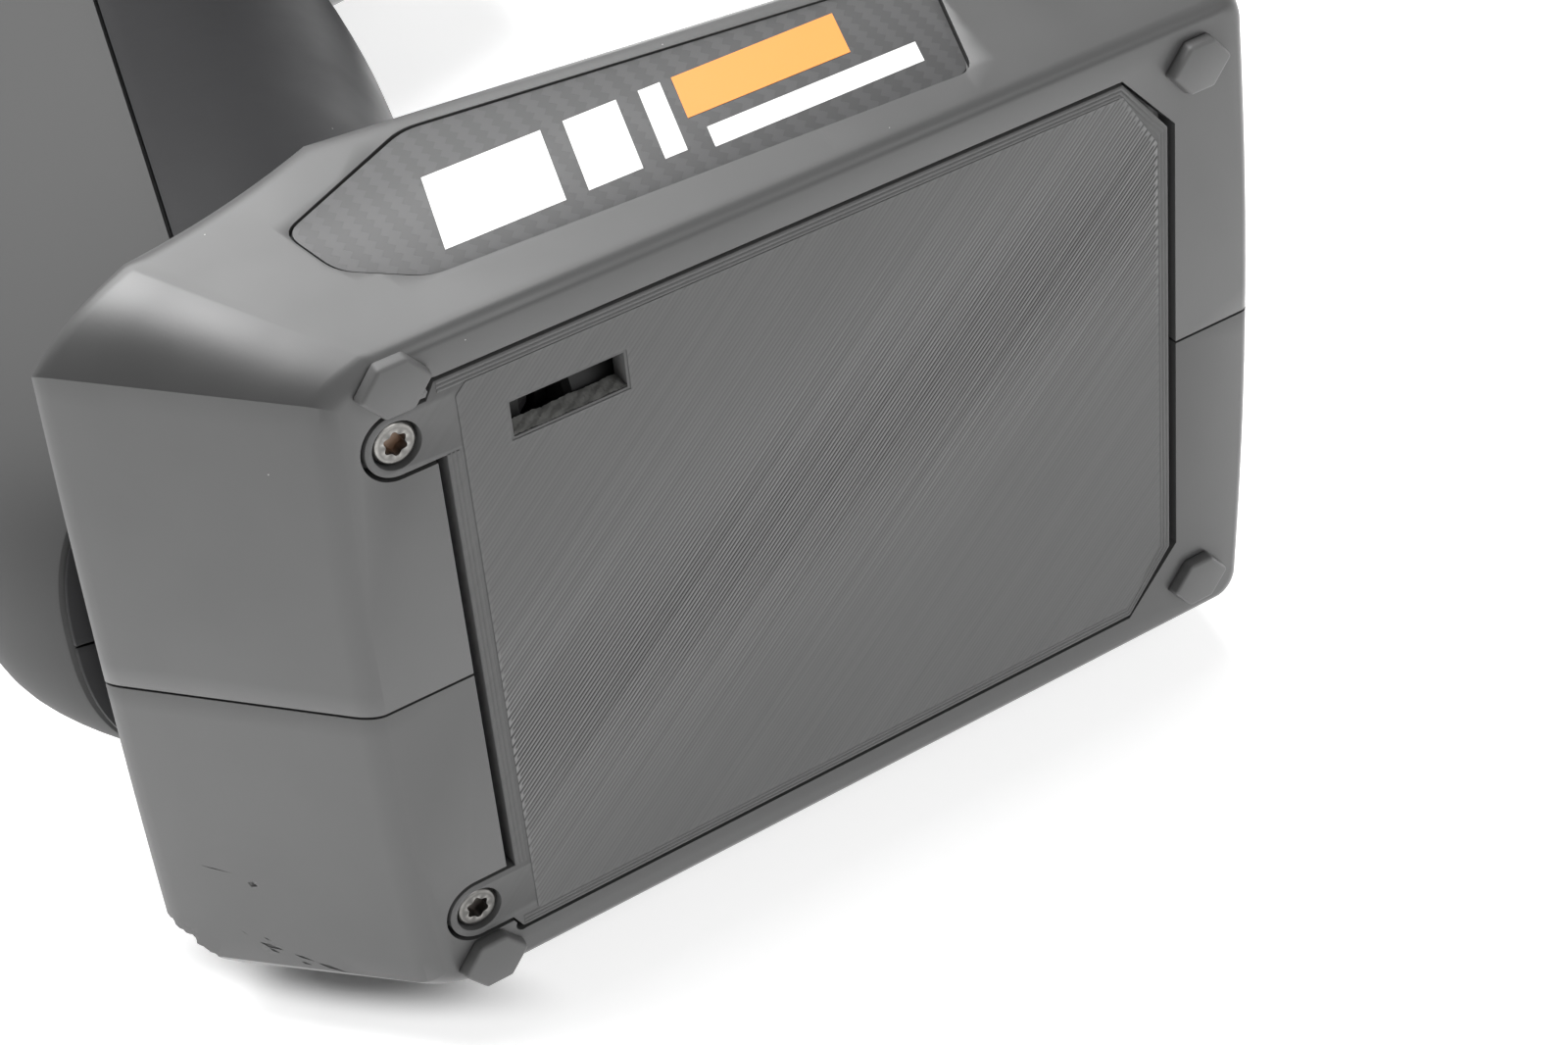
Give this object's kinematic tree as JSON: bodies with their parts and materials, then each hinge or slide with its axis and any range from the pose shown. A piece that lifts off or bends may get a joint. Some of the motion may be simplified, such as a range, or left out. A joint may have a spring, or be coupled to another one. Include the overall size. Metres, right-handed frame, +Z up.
{
  "type": "radio transmitter controller",
  "caption": "Pistol-grip radio transmitter with a foam steering wheel, ringed trigger, rubber grip and a flat base with a screwed battery cover.",
  "frame": {"origin": "ground under the middle of the assembled transmitter's bounding box", "axes": "+X to the operator's right, the wheel side; +Y forward, away from the operator; +Z up, standing on its feet"},
  "size_m": [0.1142, 0.149, 0.2535],
  "materials": {
    "casing_plastic": "moulded black plastic, fine matt texture",
    "printed_plastic": "black printed plastic with fine diagonal lines",
    "grip_rubber": "black textured rubber",
    "tyre_foam": "black open foam",
    "label_laminate": "dark woven-look laminate with plain stripes",
    "key_plastic": "dark grey plastic",
    "screw_steel": "blackened screw steel, worn at the rim",
    "bright_steel": "bright steel",
    "board_laminate": "green circuit laminate",
    "sensor_plastic": "blue component housing",
    "window_plastic": "clear smoked window",
    "panel_glass": "grey display panel, switched off",
    "cell_jacket": "plain black jacketed cell",
    "lens_plastic": "red lens"
  },
  "bodies": {
    "casing": {"base_right": "casing_plastic", "base_left": "casing_plastic", "label_plate": "label_laminate", "foot_rear_right": "grip_rubber", "foot_rear_left": "grip_rubber", "foot_front_right": "grip_rubber", "foot_front_left": "grip_rubber", "battery_tray": "key_plastic", "battery_cell_1": "cell_jacket", "battery_cell_2": "cell_jacket", "battery_cell_3": "cell_jacket", "battery_cell_4": "cell_jacket", "rear_contacts": "bright_steel", "front_contacts": "bright_steel", "handle_right": "casing_plastic", "handle_left": "casing_plastic", "rubber_grip": "grip_rubber", "head_right": "casing_plastic", "head_left": "casing_plastic", "display_window": "window_plastic", "display_panel": "panel_glass", "main_board": "board_laminate", "key_board": "board_laminate", "antenna_board": "board_laminate", "buzzer": "grip_rubber", "wheel_mount": "casing_plastic", "wheel_bearing_outer": "bright_steel", "wheel_bearing_inner": "bright_steel", "steering_spring": "bright_steel", "steering_sensor": "sensor_plastic", "trigger_pin": "bright_steel", "trigger_spring": "bright_steel", "trigger_sensor": "sensor_plastic", "dial_encoder": "sensor_plastic", "knob_potentiometer": "sensor_plastic", "status_lens": "lens_plastic"},
    "wheel": {"steering_wheel": "key_plastic", "foam_tyre": "tyre_foam", "wheel_shaft": "bright_steel", "wheel_nut": "bright_steel"},
    "trigger": {"trigger": "key_plastic"},
    "cover": {"battery_cover": "printed_plastic", "cover_screw_right": "screw_steel", "cover_screw_left": "screw_steel"},
    "power_key": {"power_key": "key_plastic"},
    "back_key": {"back_key": "key_plastic"},
    "clear_key": {"clear_key": "key_plastic"},
    "grip_key": {"grip_key": "key_plastic"},
    "menu_dial": {"menu_dial": "key_plastic"},
    "aux_knob": {"aux_knob": "key_plastic"},
    "steering_trim": {"steering_trim": "key_plastic"},
    "throttle_trim": {"throttle_trim": "key_plastic"}
  },
  "joints": [
    {"name": "steering_turn", "type": "hinge", "parent": "casing", "child": "wheel", "pos_m": [-0.01252, 0.0365, 0.2059], "axis": [1, 0, 0], "range_deg": [-35, 35], "stiffness_Nm_per_rad": 0.15},
    {"name": "trigger_pull", "type": "hinge", "parent": "casing", "child": "trigger", "pos_m": [-0.01252, 0.0325, 0.1794], "axis": [-1, 0, 0], "range_deg": [-12, 20], "stiffness_Nm_per_rad": 0.25},
    {"name": "cover_lift", "type": "slide", "parent": "casing", "child": "cover", "axis": [0, 0, -1], "range_m": [0, 0.012]},
    {"name": "power_key_press", "type": "slide", "parent": "casing", "child": "power_key", "axis": [0, 0, -1], "range_m": [0, 0.001], "stiffness_N_per_m": 300, "springref_m": -0.001},
    {"name": "back_key_press", "type": "slide", "parent": "casing", "child": "back_key", "axis": [0, 0, -1], "range_m": [0, 0.001], "stiffness_N_per_m": 300, "springref_m": -0.001},
    {"name": "clear_key_press", "type": "slide", "parent": "casing", "child": "clear_key", "axis": [0, 0, -1], "range_m": [0, 0.001], "stiffness_N_per_m": 300, "springref_m": -0.001},
    {"name": "grip_key_press", "type": "slide", "parent": "casing", "child": "grip_key", "axis": [1, 0, 0], "range_m": [0, 0.001], "stiffness_N_per_m": 300, "springref_m": -0.001},
    {"name": "menu_dial_turn", "type": "hinge", "parent": "casing", "child": "menu_dial", "pos_m": [-0.01252, 0.0125, 0.2444], "axis": [0, 0, 1], "continuous": true},
    {"name": "aux_knob_turn", "type": "hinge", "parent": "casing", "child": "aux_knob", "pos_m": [0.00398, 0.0205, 0.2431], "axis": [0, 0, 1], "range_deg": [-150, 150]},
    {"name": "steering_trim_tip", "type": "hinge", "parent": "casing", "child": "steering_trim", "pos_m": [-0.01252, 0.0325, 0.23865], "axis": [0, 1, 0], "range_deg": [-6, 6], "stiffness_Nm_per_rad": 0.05},
    {"name": "throttle_trim_tip", "type": "hinge", "parent": "casing", "child": "throttle_trim", "pos_m": [-0.02902, 0.0145, 0.24078], "axis": [1, 0, 0], "range_deg": [-6, 6], "stiffness_Nm_per_rad": 0.05}
  ]
}
